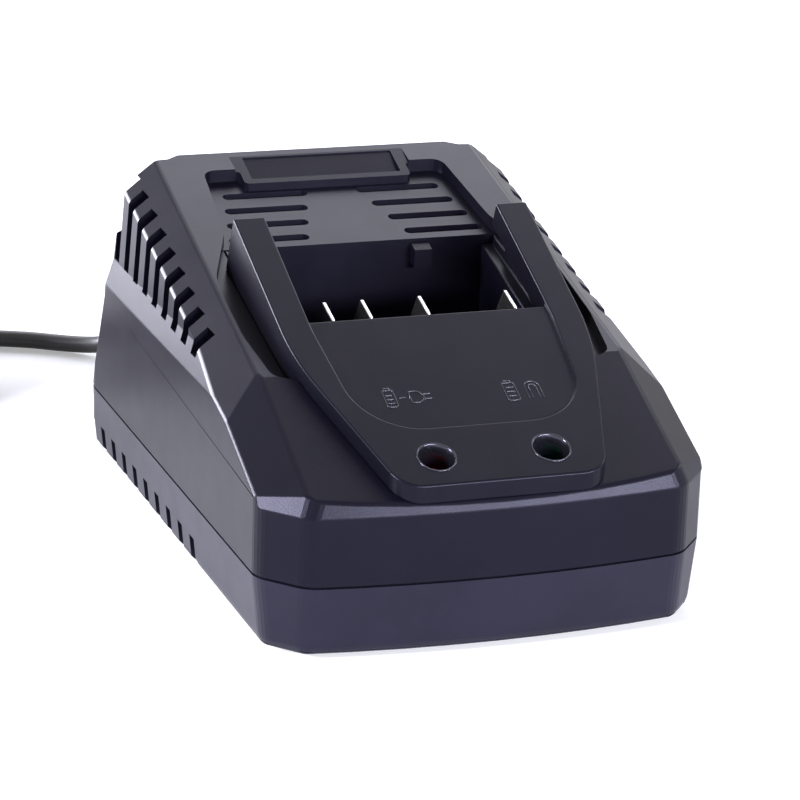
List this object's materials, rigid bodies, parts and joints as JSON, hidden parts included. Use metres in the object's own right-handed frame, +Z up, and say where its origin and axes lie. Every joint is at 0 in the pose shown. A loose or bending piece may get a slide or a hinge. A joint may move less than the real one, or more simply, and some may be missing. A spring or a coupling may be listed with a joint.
{
  "type": "power tool battery charger",
  "caption": "wedge-shaped charger with a raised slide-in dock, blade terminals, status lights, vented shells, mains electronics inside and a coiled mains cord with plug",
  "frame": {"origin": "on the table under the middle of the body, cord not counted", "axes": "X to the right, Y to the back, Z up; the sloping front with the lights faces -Y and the cord leaves the rear wall"},
  "size_m": [0.1969, 0.2326, 0.0728],
  "materials": {
    "shell": "black satin moulding",
    "dock": "black satin moulding",
    "terminal_carrier": "dark glass-filled plastic",
    "blade": "nickel-plated strip",
    "red_lens": "tinted clear resin",
    "green_lens": "tinted clear resin",
    "board": "coated glass-epoxy",
    "screw": "zinc plated",
    "ribbon": "grey flat lead",
    "ferrite": "dark ferrite",
    "tape": "yellow tape over copper",
    "can": "printed sleeve, left bare",
    "sink": "extruded",
    "package": "moulded package",
    "copper": "enamelled copper",
    "film": "boxed film capacitor",
    "fuse_cap": "small round fuse body",
    "pale_package": "white moulded package",
    "insulation": "brown insulated leads",
    "foot_rubber": "soft rubber",
    "cord_jacket": "matte black jacket",
    "tie_plastic": "bent strip",
    "plug_plastic": "moulded plug",
    "pin": "nickel-plated brass"
  },
  "bodies": {
    "root": {"top_cover": "shell", "base_tray": "shell", "battery_dock": "dock", "contact_block": "terminal_carrier", "blade_positive": "blade", "blade_thermal": "blade", "blade_coding": "blade", "blade_negative": "blade", "red_led": "red_lens", "green_led": "green_lens", "display_board": "board", "display_screws": "screw", "display_lead": "ribbon", "circuit_board": "board", "board_screws": "screw", "transformer_core": "ferrite", "transformer_winding": "tape", "bulk_capacitor": "can", "output_capacitors": "can", "heat_sink": "sink", "switching_transistor": "package", "rectifier_diode": "package", "sink_screws": "screw", "bridge_rectifier": "package", "line_filter": "copper", "filter_capacitor": "film", "fuse": "fuse_cap", "controller_chip": "package", "optocoupler": "pale_package", "mains_leads": "insulation", "case_screws": "screw", "rubber_feet": "foot_rubber", "strain_relief": "cord_jacket", "mains_cord": "cord_jacket", "cord_coil": "cord_jacket", "cord_tail": "cord_jacket", "cord_tie": "tie_plastic", "plug_body": "plug_plastic", "plug_pins": "pin"}
  },
  "joints": []
}
